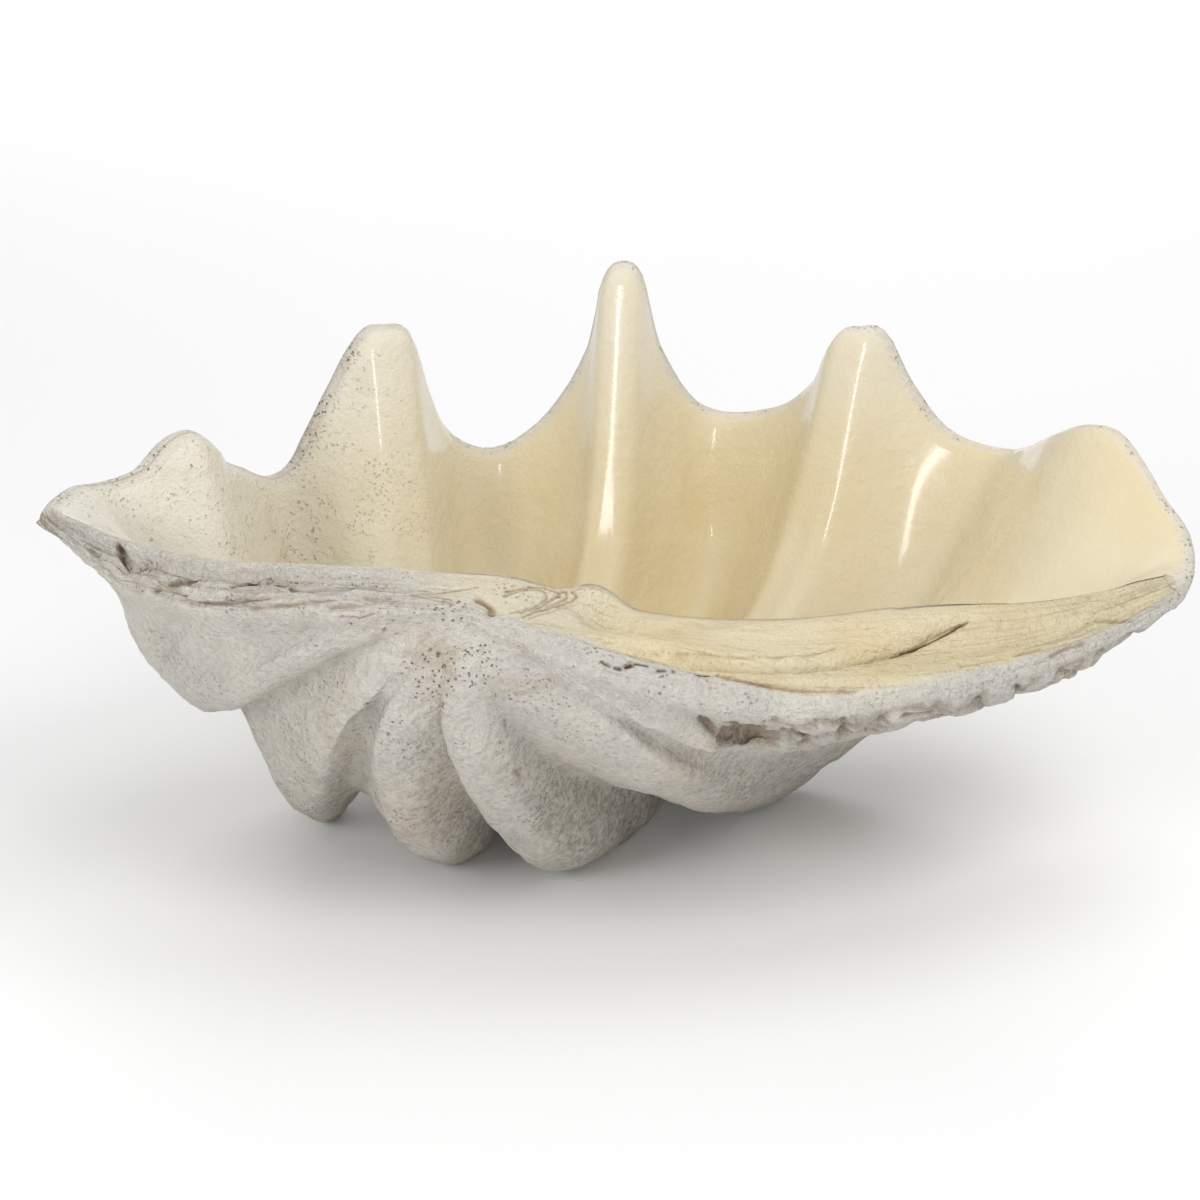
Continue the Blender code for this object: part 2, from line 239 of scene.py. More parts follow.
def inner_face(u, v):
    """Inside of the shell."""
    lines = [lining(line) for line in with_lip(GROOVES, 0)]
    ribs = [lining(line) for line in with_lip(RIBS, 4)]
    lines[0] = CREST_SHORT + (CREST_ENDS[0],)
    lines[-1] = CREST_LONG + (CREST_ENDS[1],)
    sharpness = RIDGE_SHARPNESS + (RIB_SHARPNESS - RIDGE_SHARPNESS) * ease(0.8, 1.0, v)
    fade = ease(0.0, 0.5, v)
    face = folded(HOLLOW, tuple(lines), tuple(ribs), u, v, sharpness, fade)
    return face + lip_shift(u, v)


def normals(face):
    """Outward unit normals of a grid of points."""
    by_u = np.gradient(face, axis=0)
    by_v = np.gradient(face, axis=1)
    n = np.cross(by_v, by_u)
    return n / np.maximum(np.linalg.norm(n, axis=2, keepdims=True), 1e-9)


def growth(u, v):
    """Height of ledges and dents on the outer face."""
    bend = 0.25 * np.sin(2 * np.pi * RIB_COUNT * u) + 0.3 * np.sin(9.0 * u + 1.0)
    phase = (v[None, :] * LEDGE_COUNT + bend[:, None]) % 1.0
    step = phase * ease(0.0, 0.35, 1 - phase)
    crest = (0.5 - 0.5 * np.cos(2 * np.pi * RIB_COUNT * u)) * ease(0.05, 0.3, u)
    where = ease(0.15, 0.45, v) * (1 - ease(0.85, 1.0, v))
    height = LEDGE_HEIGHT * (step - 0.4) * crest[:, None] * where[None, :]
    for place, ray, wide, long, depth in DENTS:
        far = ((u[:, None] - place) / wide) ** 2 + ((v[None, :] - ray) / long) ** 2
        height = height - depth * np.exp(-far)
    return height


def across(v, steps):
    """Places across the long rim; the middle row of them follows the ligament groove."""
    place, run = np.array(GROOVE_RUN).T
    middle = np.interp(v, place, run)[None, :]
    s = np.linspace(0.0, 1.0, steps + 1)[:, None]
    return np.where(s < 0.5, 2 * s * middle, middle + (2 * s - 1) * (1 - middle))


def rim(outer_edge, inner_edge, v, w, rises):
    """Hinge side of the rim between the outer and the inner edge."""
    flat = outer_edge[None] * (1 - w[..., None]) + inner_edge[None] * w[..., None]
    rise = spline(np.array(rises)[:, None], w.ravel() * (len(rises) - 1))[:, 0]
    fade = ease(0.02, 0.35, v) * (1 - ease(0.75, 0.97, v))
    flat[..., 2] += rise.reshape(w.shape) * fade[None, :]
    return flat


def plate(v, w):
    """Height of the hinge plate and depth of the ligament groove along its front."""
    place, run = np.array(GROOVE_RUN).T
    past = w - np.interp(v, place, run)[None, :]
    fade = ease(0.15, 0.32, v) * (1 - ease(0.66, 0.76, v))
    raised = PLATE_RISE * ease(0.0, 0.10, past) * ease(0.0, 0.30, 1 - w)
    groove = GROOVE_DEPTH * np.exp(-(past / 0.04) ** 2) * ease(0.0, 0.1, w) * ease(0.0, 0.1, 1 - w)
    return (raised - groove) * fade[None, :]


def scooped(points):
    """Points of the skin with the scoops pressed in from above."""
    depth = 0.0
    for middle, wide, deep in SCOOPS:
        far = np.linalg.norm((points[:, :2] - middle) / wide, axis=1)
        depth = depth + deep * (1 - ease(0.0, 1.0, far)) * ease(0.225, 0.240, points[:, 2])
    points[:, 2] -= depth
    return points


# Fine skin: the four sides that a point can belong to
OUTSIDE, INSIDE, SHORT, LONG = 0, 1, 2, 3

# Place across the long rim where the chalk of the outside ends, from beak to end
CHALK_RUN = ((0.0, 0.30), (0.05, 0.27), (0.10, 0.29), (0.17, 0.21), (0.42, 0.15), (0.62, 0.14),
             (0.78, 0.17), (0.90, 0.29), (1.0, 0.40))

# Brown seam at the foot of the slope: from beak to end, and across the long rim
SEAM_RUN = ((0.35, 0.20), (0.45, 0.235), (0.50, 0.27), (0.535, 0.335), (0.57, 0.40),
            (0.605, 0.50), (0.64, 0.60), (0.67, 0.70), (0.70, 0.80))

# Cracks, grooves and pits: side, places on it, half width, depth, and dirt, which is painted shadow
# for the recess behind the beak and the large pocket.
# A place is the way across or round the side, then the way from beak to end.
CUTS = (
    # Short rim: cracks at the end, then pits and dashes, the brown seam and stringy folds
    (SHORT, ((0.74, 0.82), (0.66, 0.80), (0.56, 0.78), (0.46, 0.765)), 0.0026, 0.0065, 0.95),
    (SHORT, ((0.36, 0.88), (0.26, 0.845), (0.10, 0.80)), 0.0024, 0.0024, 0.45),
    (SHORT, ((0.11, 0.69), (0.17, 0.675)), 0.0026, 0.0040, 0.9),
    (SHORT, ((0.33, 0.66), (0.38, 0.645), (0.41, 0.625), (0.46, 0.61)), 0.0028, 0.0042, 0.85),
    (SHORT, ((0.26, 0.67), (0.20, 0.64), (0.14, 0.62)), 0.0022, 0.0024, 0.6),
    (SHORT, ((0.42, 0.52), (0.47, 0.49), (0.53, 0.47), (0.67, 0.455)), 0.0022, 0.0030, 0.85),
    (SHORT, ((0.45, 0.43), (0.43, 0.41)), 0.0015, 0.0022, 0.9),
    (SHORT, ((0.40, 0.395), (0.37, 0.38)), 0.0017, 0.0024, 0.9),
    (SHORT, ((0.34, 0.36), (0.325, 0.345)), 0.0014, 0.0022, 0.85),
    (SHORT, ((0.46, 0.30), (0.45, 0.245), (0.425, 0.18), (0.42, 0.115), (0.33, 0.04)),
     0.0015, 0.0018, 0.75),
    (SHORT, ((0.50, 0.32), (0.50, 0.22), (0.52, 0.13), (0.58, 0.05), (0.66, 0.02)),
     0.0012, 0.0012, 0.55),
    (SHORT, ((0.36, 0.13), (0.30, 0.06), (0.22, 0.02)), 0.0012, 0.0012, 0.6),
    (SHORT, ((0.66, 0.74), (0.64, 0.62), (0.66, 0.48), (0.70, 0.34)), 0.0060, 0.0026, 0.10),
    (SHORT, ((0.14, 0.52), (0.30, 0.41), (0.39, 0.33), (0.41, 0.27)), 0.0020, 0.0020, 0.45),
    (SHORT, ((0.03, 0.60), (0.10, 0.52), (0.16, 0.43)), 0.0022, 0.0024, 0.60),
    (SHORT, ((0.04, 0.46), (0.12, 0.32), (0.20, 0.25), (0.31, 0.17)), 0.0020, 0.0020, 0.50),
    (SHORT, ((0.05, 0.28), (0.12, 0.20), (0.20, 0.12)), 0.0014, 0.0014, 0.45),
    (OUTSIDE, ((0.008, 0.24), (0.012, 0.21), (0.016, 0.19), (0.008, 0.17)), 0.0011, 0.0010, 0.70),
    # Behind the beak: the recess, whose brown is a painted shadow, and the nested growth arcs
    (LONG, ((0.42, 0.004), (0.41, 0.018), (0.35, 0.038), (0.26, 0.055)), 0.0034, 0.0036, 0.85),
    (LONG, ((0.60, 0.030), (0.78, 0.040), (0.90, 0.053), (0.88, 0.068), (0.74, 0.079), (0.50, 0.080),
            (0.34, 0.074)), 0.0011, 0.0011, 0.65),
    (LONG, ((0.70, 0.022), (0.92, 0.045), (0.985, 0.066), (0.93, 0.084), (0.80, 0.088), (0.62, 0.088),
            (0.40, 0.084)), 0.0011, 0.0012, 0.75),
    (LONG, ((0.985, 0.078), (0.975, 0.090), (0.86, 0.096), (0.66, 0.096)), 0.0011, 0.0011, 0.65),
    (LONG, ((0.985, 0.100), (0.90, 0.109), (0.76, 0.106), (0.54, 0.100), (0.34, 0.096)),
     0.0013, 0.0013, 0.75),
    (LONG, ((0.80, 0.118), (0.62, 0.112), (0.44, 0.108), (0.32, 0.106)), 0.0010, 0.0010, 0.40),
    (LONG, ((0.26, 0.12), (0.33, 0.16), (0.30, 0.22), (0.26, 0.27)), 0.0016, 0.0012, 0.30),
    # Hinge plate: fine seams, the crack that ends them, and a wide shallow hollow
    (LONG, ((0.19, 0.31), (0.27, 0.38), (0.31, 0.45), (0.38, 0.49), (0.46, 0.53), (0.55, 0.55)),
     0.0012, 0.0012, 0.55),
    (LONG, ((0.22, 0.26), (0.36, 0.33), (0.50, 0.40)), 0.0012, 0.0010, 0.30),
    (LONG, ((0.20, 0.40), (0.235, 0.45), (0.27, 0.50), (0.335, 0.535), (0.40, 0.57)),
     0.0013, 0.0016, 0.30),
    (LONG, ((0.40, 0.57), (0.50, 0.605), (0.60, 0.64), (0.70, 0.67), (0.80, 0.70)),
     0.0010, 0.0022, 0.45),
    (LONG, ((0.36, 0.215), (0.45, 0.26), (0.58, 0.295), (0.70, 0.335), (0.82, 0.36)),
     0.0070, 0.0030, 0.12),
    (LONG, ((0.17, 0.44), (0.155, 0.50), (0.15, 0.56), (0.145, 0.63)), 0.0013, 0.0014, 0.70),
    # Small holes and brown dashes where the chalk ends
    (LONG, ((0.080, 0.280), (0.070, 0.295)), 0.0010, 0.0020, 0.85),
    (LONG, ((0.070, 0.305), (0.075, 0.312)), 0.0012, 0.0026, 1.0),
    (LONG, ((0.095, 0.318), (0.105, 0.322)), 0.0015, 0.0034, 1.0),
    (LONG, ((0.118, 0.328), (0.122, 0.345)), 0.0010, 0.0020, 0.9),
    (LONG, ((0.118, 0.362), (0.125, 0.370)), 0.0012, 0.0024, 0.9),
    (LONG, ((0.138, 0.382),), 0.0012, 0.0022, 0.85),
    (LONG, ((0.148, 0.415), (0.155, 0.430)), 0.0014, 0.0024, 0.9),
    (LONG, ((0.53, 0.89), (0.41, 0.915), (0.25, 0.94)), 0.0016, 0.0016, 0.55),
    (LONG, ((0.17, 0.84), (0.21, 0.855), (0.20, 0.875)), 0.0018, 0.0018, 0.65),
    (LONG, ((0.27, 0.79), (0.31, 0.82)), 0.0014, 0.0013, 0.55),
    (LONG, ((0.24, 0.73), (0.25, 0.77)), 0.0013, 0.0012, 0.40),
    (LONG, ((0.38, 0.80), (0.45, 0.85), (0.52, 0.88)), 0.0016, 0.0014, 0.30),
    (LONG, ((0.95, 0.59), (0.98, 0.67), (0.97, 0.81), (0.98, 0.92)), 0.0080, 0.0020, 0.0),
    # Under the worn band: folds, cracks and the large pocket, whose brown is painted shade
    (OUTSIDE, ((0.972, 0.43), (0.960, 0.41), (0.945, 0.405)), 0.0030, 0.0050, 0.7),
    (OUTSIDE, ((0.975, 0.47), (0.958, 0.455), (0.945, 0.425)), 0.0034, 0.0060, 0.8),
    (OUTSIDE, ((0.940, 0.425), (0.920, 0.450), (0.895, 0.455)), 0.0130, 0.0120, 0.50),
    (OUTSIDE, ((0.990, 0.525), (0.965, 0.53), (0.940, 0.52), (0.915, 0.50)), 0.0032, 0.0050, 0.6),
    (OUTSIDE, ((0.997, 0.62), (0.972, 0.605), (0.945, 0.57), (0.925, 0.56)), 0.0032, 0.0060, 0.75),
    (OUTSIDE, ((0.992, 0.685), (0.985, 0.705)), 0.0040, 0.0040, 0.8),
    (OUTSIDE, ((0.990, 0.66), (0.960, 0.66), (0.935, 0.64)), 0.0030, 0.0050, 0.6),
    (OUTSIDE, ((0.995, 0.755), (0.965, 0.745), (0.935, 0.72)), 0.0030, 0.0050, 0.55),
    (OUTSIDE, ((0.996, 0.80), (0.980, 0.79)), 0.0030, 0.0040, 0.8),
    (OUTSIDE, ((0.990, 0.85), (0.960, 0.84)), 0.0035, 0.0045, 0.5),
    # Front ribs and inside: clusters of small holes, the blemish and the soft fold
    (OUTSIDE, ((0.05, 0.095),), 0.0011, 0.0018, 0.8),
    (OUTSIDE, ((0.09, 0.090), (0.10, 0.092)), 0.0011, 0.0018, 0.8),
    (OUTSIDE, ((0.15, 0.085),), 0.0010, 0.0016, 0.8),
    (OUTSIDE, ((0.42, 0.058),), 0.0013, 0.0020, 0.9),
    (OUTSIDE, ((0.48, 0.066),), 0.0014, 0.0024, 0.95),
    (OUTSIDE, ((0.525, 0.084),), 0.0012, 0.0020, 0.9),
    (OUTSIDE, ((0.587, 0.096),), 0.0011, 0.0018, 0.85),
    (OUTSIDE, ((0.705, 0.315), (0.703, 0.322)), 0.0013, 0.0020, 0.7),
    (OUTSIDE, ((0.627, 0.26), (0.626, 0.266)), 0.0012, 0.0018, 0.7),
    (INSIDE, ((0.765, 0.76), (0.785, 0.85), (0.807, 0.90), (0.817, 0.945)), 0.0080, 0.0024, 0.0),
)
REFINED_REACH = 0.0008             # beyond twice the half width, where the skin is refined
FINE_CUT = 0.005                   # cuts with a smaller half width get the refined skin
REFINED_CUTS = 3                   # new points on each edge there
LINE_STEPS = 6                     # pieces of a cut's line between two of its places
CUT_WOBBLE = 0.35                  # share by which a cut's width varies along it
MELT_ROUNDS = 30                   # how often the creases at the beak are smoothed

# Heights of the natural roughness, in metres
LUMP_HEIGHT = 0.0013
LAMELLA_HEIGHT = 0.0010
LAMELLA_COUNT = 30                 # growth lamellae between beak and lip
GRAIN_HEIGHT = 0.0012
SCALE_HEIGHT = 0.0024
SCALE_SIZE = 0.030                 # of the plates under the worn band
SCALE_CRACK_DEPTH = 0.0030
STRING_HEIGHT = 0.0028             # stringy layers of the short rim
RIM_GRAIN_HEIGHT = 0.0010
SLOPE_HEIGHT = 0.0011              # lines along the slope of the long rim
FLAT_HEIGHT = 0.0007               # lines along its hinge plate
INSIDE_HEIGHT = 0.0008
DARK_DEPTH = 0.0025                # painted shade darkens cuts deeper than this


def lattice(cell, seed):
    """A number from 0 to 1 for each cell of a grid, always the same one."""
    n = cell.astype(np.int64)
    h = n[..., 0] * 73856093 ^ n[..., 1] * 19349663 ^ n[..., 2] * 83492791 ^ seed * 2654435761
    h = (h ^ (h >> 13)) * 1274126177 & 0x7FFFFFFF
    h = (h ^ (h >> 16)) * 668265263 & 0x7FFFFFFF
    return (h % 100003) / 100003.0


def noise(points, size, seed):
    """Smooth noise from -1 to 1 with lumps of about the size."""
    p = points / size
    base = np.floor(p)
    t = p - base
    t = t * t * t * (t * (t * 6 - 15) + 10)
    total = 0.0
    for corner in range(8):
        step = np.array([corner & 1, corner >> 1 & 1, corner >> 2 & 1])
        share = np.prod(np.where(step, t, 1 - t), axis=-1)
        total = total + share * lattice(base + step, seed)
    return total * 2 - 1


def rough(points, size, seed, layers=3):
    """Noise with finer and finer layers."""
    total, weight = 0.0, 1.0
    for k in range(layers):
        total = total + weight * noise(points, size * 0.5 ** k, seed + k)
        weight *= 0.5
    return total


def plates(points, size, seed):
    """1 on the cracks between scattered cells, 0 well inside them."""
    p = points / size
    base = np.floor(p)
    near = np.full((2, len(points)), 9.0)
    for i in (-1, 0, 1):
        for j in (-1, 0, 1):
            for k in (-1, 0, 1):
                cell = base + np.array([i, j, k])
                spot = cell + np.stack([lattice(cell, seed + a) for a in (1, 2, 3)], axis=-1)
                far = np.linalg.norm(p - spot, axis=-1)
                near = np.sort(np.vstack([near, far]), axis=0)[:2]
    return 1 - ease(0.02, 0.22, near[1] - near[0])


class FineSkin:
    """Collects points with their marks, and faces; equal points are shared."""

    def __init__(self):
        self.points, self.numbers, self.faces, self.marks = [], {}, [], []

    def number(self, point, mark):
        key = tuple(round(float(c), 7) + 0.0 for c in point)
        if key not in self.numbers:
            self.numbers[key] = len(self.points)
            self.points.append(key)
            self.marks.append(mark)
        return self.numbers[key]

    def add(self, grid, marks, flip):
        rows = [[self.number(p, m) for p, m in zip(*row)] for row in zip(grid, marks)]
        for i in range(len(rows) - 1):
            for j in range(len(rows[0]) - 1):
                ring = [rows[i][j], rows[i + 1][j], rows[i + 1][j + 1], rows[i][j + 1]]
                ring = [a for k, a in enumerate(ring) if a != ring[k - 1]]
                if len(ring) >= 3:
                    self.faces.append(ring[::-1] if flip else ring)


def marked(side, first, second):
    """Marks of a patch: its side and the two places on it."""
    first, second = np.broadcast_arrays(first, second)
    return np.stack([np.full(first.shape, float(side)), first, second], axis=-1)


def fine_skin():
    """Closed fine skin of the whole valve, with a mark for the place of each point."""
    u = np.linspace(0.0, 1.0, ROUND_STEPS + 1)
    v = np.linspace(0.0, 1.0, RAY_STEPS + 1)
    even = np.linspace(0.0, 1.0, EDGE_STEPS + 1)
    outside = outer_face(u, v)
    inside = inner_face(u, v)
    height = growth(u, v) * ease(0.0, 0.02, v)[None, :] * ease(0.0, 0.03, 1 - v)[None, :]
    height = height * (ease(0.0, 0.02, u) * ease(0.0, 0.02, 1 - u))[:, None]
    outside = outside + normals(outside) * height[..., None]
    w = even[:, None] + 0 * v[None, :]
    short = rim(outside[0], inside[0], v, w, RISE_SHORT)
    slant = across(v, EDGE_STEPS)
    long = rim(outside[-1], inside[-1], v, slant, RISE_LONG)
    long[..., 2] += plate(v, slant)
    s = even[None, :, None]
    low = outside[:, -1][:, None]
    high = inside[:, -1][:, None]
    up = (outside[:, -1] - outside[:, -6]) + (inside[:, -1] - inside[:, -6])
    up = up / np.linalg.norm(up, axis=1)[:, None]
    half = np.linalg.norm(high - low, axis=2)[:, :, None] / 2
    edge = low * (1 - s) + high * s + up[:, None] * half * LIP_ROUND * np.sin(np.pi * s)
    edge[0] = short[:, -1]
    edge[-1] = long[:, -1]
    lip_marks = marked(0, u[:, None], 1.0 + 0 * even[None, :])
    lip_marks[..., 0] = even[None, :]
    skin = FineSkin()
    skin.add(outside, marked(OUTSIDE, u[:, None], v[None, :]), True)
    skin.add(inside, marked(INSIDE, u[:, None], v[None, :]), False)
    skin.add(short, marked(SHORT, w, v[None, :]), False)
    skin.add(long, marked(LONG, slant, v[None, :]), True)
    skin.add(edge, lip_marks, True)
    return skin


def melted(points, faces, share, rounds):
    """Points drawn towards the middle of their neighbours, by a share each round."""
    quads = np.array([f + f[-1:] if len(f) == 3 else f for f in faces])
    pairs = np.vstack([quads[:, [k, (k + 1) % 4]] for k in range(4)])
    pairs = pairs[pairs[:, 0] != pairs[:, 1]]
    count = np.bincount(pairs[:, 0], minlength=len(points))[:, None]
    for _ in range(rounds):
        total = np.stack([np.bincount(pairs[:, 0], points[pairs[:, 1], k], len(points))
                          for k in range(3)], axis=-1)
        points = points + share[:, None] * 0.5 * (total / np.maximum(count, 1) - points)
    return points


def cut_lines(points, marks):
    """Each cut as a smooth line of points, with its half width, depth, and dirt or painted shadow."""
    lines = []
    for side, places, wide, deep, dirt_and_shadow in CUTS:
        own = np.flatnonzero(marks[:, 0] == side)
        keys = []
        for a, b in places:
            far = np.abs(marks[own, 1] - a) + 2 * np.abs(marks[own, 2] - b)
            four = np.argsort(far)[:4]
            share = 1 / (far[four] + 1e-4)
            keys.append((points[own[four]] * share[:, None]).sum(axis=0) / share.sum())
        if len(keys) == 1:
            keys = keys * 2
        at = np.linspace(0.0, len(keys) - 1, LINE_STEPS * (len(keys) - 1) + 1)
        lines.append((spline(keys, at), wide, deep, dirt_and_shadow))
    return lines


def line_distance(points, line, reach):
    """Numbers of the points near a line, and how far each is from it."""
    lo, hi = line.min(0) - reach, line.max(0) + reach
    near = np.flatnonzero(np.all((points > lo) & (points < hi), axis=1))
    far = np.full(len(near), 9.0)
    for start, end in zip(line[:-1], line[1:]):
        way = end - start
        t = np.clip((points[near] - start) @ way / max(way @ way, 1e-12), 0, 1)
        far = np.minimum(far, np.linalg.norm(points[near] - start - t[:, None] * way, axis=1))
    return near, far


def cut_depth(points, lines):
    """Depth of the cracks, grooves and pits at each point, and their dirt, which is painted shadow in
    the recess behind the beak and the large pocket.
    """
    depth = np.zeros(len(points))
    dirt_and_shadow = np.zeros(len(points))
    wobble = 1 + CUT_WOBBLE * noise(points, 0.009, 101)
    for line, wide, deep, brown in lines:
        near, far = line_distance(points, line, wide * 3)
        fall = np.exp(-(far / (wide * wobble[near])) ** 2)
        depth[near] = np.maximum(depth[near], deep * fall)
        dirt_and_shadow[near] = np.maximum(dirt_and_shadow[near], brown * ease(0.20, 0.85, fall))
    return depth, dirt_and_shadow


def spread(marks):
    """Marks that run on evenly over every edge of the skin.

    They are the shares of the short rim, the long rim and the inside, then the ways
    over the rim, round the shell and along it from the beak.
    """
    side, a, b = marks.T
    short = (side == SHORT).astype(float)
    long = (side == LONG).astype(float)
    inside = np.clip(side, 0, 1) * (side <= 1)
    over = np.where(side > 1, a, inside)
    around = np.where(side > 1, long, a)
    return np.column_stack([short, long, inside, over, around, b])


def refined(points, faces, marks, lines):
    """Mesh of the skin with smaller faces along the cuts, and the marks of its points."""
    mesh = bpy.data.meshes.new("shell_skin")
    mesh.from_pydata(points.tolist(), [], faces)
    mesh.update()
    names = ["mark_%d" % k for k in range(marks.shape[1])]
    for name, values in zip(names, marks.T):
        layer = mesh.attributes.new(name, "FLOAT", "POINT")
        layer.data.foreach_set("value", values.astype(np.float32))
    ends = np.zeros(len(mesh.edges) * 2, dtype=np.int32)
    mesh.edges.foreach_get("vertices", ends)
    ends = ends.reshape(-1, 2)
    middles = points[ends].mean(axis=1)
    chosen = np.zeros(len(ends), dtype=bool)
    for line, wide, deep, dirt_and_shadow in lines:
        if wide < FINE_CUT:
            near, far = line_distance(middles, line, 2 * wide + REFINED_REACH)
            chosen[near] |= far < 2 * wide + REFINED_REACH
    work = bmesh.new()
    work.from_mesh(mesh)
    work.edges.ensure_lookup_table()
    edges = [work.edges[k] for k in np.flatnonzero(chosen)]
    bmesh.ops.subdivide_edges(work, edges=edges, cuts=REFINED_CUTS, use_grid_fill=True)
    work.to_mesh(mesh)
    work.free()
    columns = []
    for name in names:
        values = np.zeros(len(mesh.vertices), dtype=np.float32)
        mesh.attributes[name].data.foreach_get("value", values)
        columns.append(values.astype(float))
        mesh.attributes.remove(mesh.attributes[name])
    return mesh, np.column_stack(columns)


def chalk_relief(points, outer, around, along):
    """Height of the chalk with its lumps and lamellae, its grain, and its cracks."""
    apart = ease(0.01, 0.06, np.linalg.norm(points - np.array(BEAK), axis=1))
    coarse = 0.55 + 0.45 * (1 - ease(0.05, 0.20, points[:, 2]))
    lumps = rough(points, 0.045, 11)
    grain = rough(points, 0.016, 31)
    bend = 0.5 * noise(points, 0.05, 21)
    phase = (along * LAMELLA_COUNT + bend + 0.4 * np.sin(RIB_COUNT * np.pi * around)) % 1.0
    lamella = np.abs(phase - 0.5) * 2
    scales = ease(0.86, 0.93, around) * ease(0.42, 0.52, along) * (1 - ease(0.95, 1.0, along))
    ends = scales + (1 - ease(0.02, 0.10, around)) * 0.5 * ease(0.3, 0.5, along)
    cracks = plates(points, SCALE_SIZE, 45) * scales * outer
    relief = LUMP_HEIGHT * lumps + LAMELLA_HEIGHT * coarse * lamella
    relief = relief + GRAIN_HEIGHT * coarse * grain
    relief = relief + SCALE_HEIGHT * ends * rough(points, 0.022, 45, 2)
    return apart * (relief - SCALE_CRACK_DEPTH * cracks), grain, cracks


def long_rim_zones(points, long, over, along):
    """Shares of the long rim's worn band, slope and hinge plate at each point."""
    border = np.interp(along, *np.array(CHALK_RUN).T) + 0.03 * noise(points, 0.025, 77)
    band = long * (1 - ease(-0.035, 0.03, over - border))
    slope = 1 - ease(-0.03, 0.02, over - np.interp(along, *np.array(GROOVE_RUN).T))
    slope = (long - band) * np.maximum(slope, ease(0.68, 0.80, along))
    return band, slope, long - band - slope


def common_shares(points, marks, band):
    """Shares of the outside, of the lip's top and of the rims right by the beak."""
    short, long, inside, over, around, along = marks.T
    outer = np.clip(1 - short - long - inside, 0, 1)
    lip = ease(0.05, 0.3, over) * ease(0.05, 0.3, 1 - over) * ease(0.985, 1.0, along)
    by_beak = 1 - ease(0.030, 0.085, np.linalg.norm(points - np.array(HOLLOW), axis=1))
    return outer, lip, (short + long - band) * by_beak


def glaze_looks(points, marks, band, slope, flat):
    """How cream, glossy and worn to chalk the surface is, each from 0 to 1."""
    short, long, inside, over, around, along = marks.T
    x, z = points[:, 0], points[:, 2]
    outer, lip, near = common_shares(points, marks, band)
    warm = ease(-0.36, 0.02, x)
    pale_tip = ease(0.19, 0.33, z - 0.12 * ease(0.2, 0.38, x))
    cream = inside * warm * (1 - 0.5 * pale_tip)
    cream = cream + slope * 0.95 + flat * (0.70 + 0.28 * ease(0.10, 0.30, along))
    cream = cream + short * 0.25 * ease(0.75, 0.95, over)
    cream = cream + (0.65 - cream) * near
    gloss = inside * (0.65 + 0.35 * warm) + flat * 0.5 + slope * 0.35
    gloss = gloss + short * 0.35 * ease(0.80, 0.97, over)
    gloss = gloss + (0.4 - gloss) * near
    worn = outer + band + short * (1 - 0.6 * ease(0.75, 0.95, over)) + 0.2 * lip
    worn = np.clip(worn, 0, 1)
    worn = worn + (0.25 - worn) * near
    return {"cream": cream, "gloss": gloss, "worn": worn}


def dirt_and_shade_looks(points, facing, marks, band, slope, cracks, depth, dirt_and_shadow):
    """How stained and dirty the surface is, where painted shade darkens it, and where the brown seam
    runs.
    """
    short, long, inside, over, around, along = marks.T
    x, z = points[:, 0], points[:, 2]
    outer, lip, near = common_shares(points, marks, band)
    low_down = 1 - ease(0.05, 0.20, z)
    under_beak = 1 - ease(0.04, 0.15, np.linalg.norm(points - np.array(BEAK), axis=1))
    left = 1 - ease(-0.26, -0.04, x)
    stain = outer * np.clip(0.30 + 0.40 * low_down + 0.65 * under_beak + 0.25 * left, 0, 1)
    stain = stain + short * (0.85 - 0.55 * ease(0.62, 0.8, over)) + slope * 0.2
    stain = stain + band * (0.45 + 0.5 * np.exp(-((along - 0.34) / 0.09) ** 2))
    stain = np.clip(stain + inside * 0.50 * left + 0.5 * lip + 0.6 * near, 0, 1)
    # Painted shade: darker on flanks that face right low down, towards the bottom, in the cracks
    # between plates and in cuts deeper than DARK_DEPTH
    shaded = ease(0.05, 0.75, facing[:, 0]) * (1 - ease(0.08, 0.21, z))
    painted_shade = outer * (0.22 * low_down + 0.60 * shaded + 0.5 * cracks)
    painted_shade = painted_shade + np.maximum(depth - DARK_DEPTH, 0) * 90
    seam = over - np.interp(along, *np.array(SEAM_RUN).T)
    split = long * ease(0.46, 0.60, along) * (1 - ease(0.690, 0.705, along))
    return {"stain": stain, "painted_shade": np.clip(painted_shade, 0, 1), "seam": seam, "split": split,
            "dirt_and_shadow": np.clip(np.maximum(dirt_and_shadow, cracks * 0.35), 0, 1)}


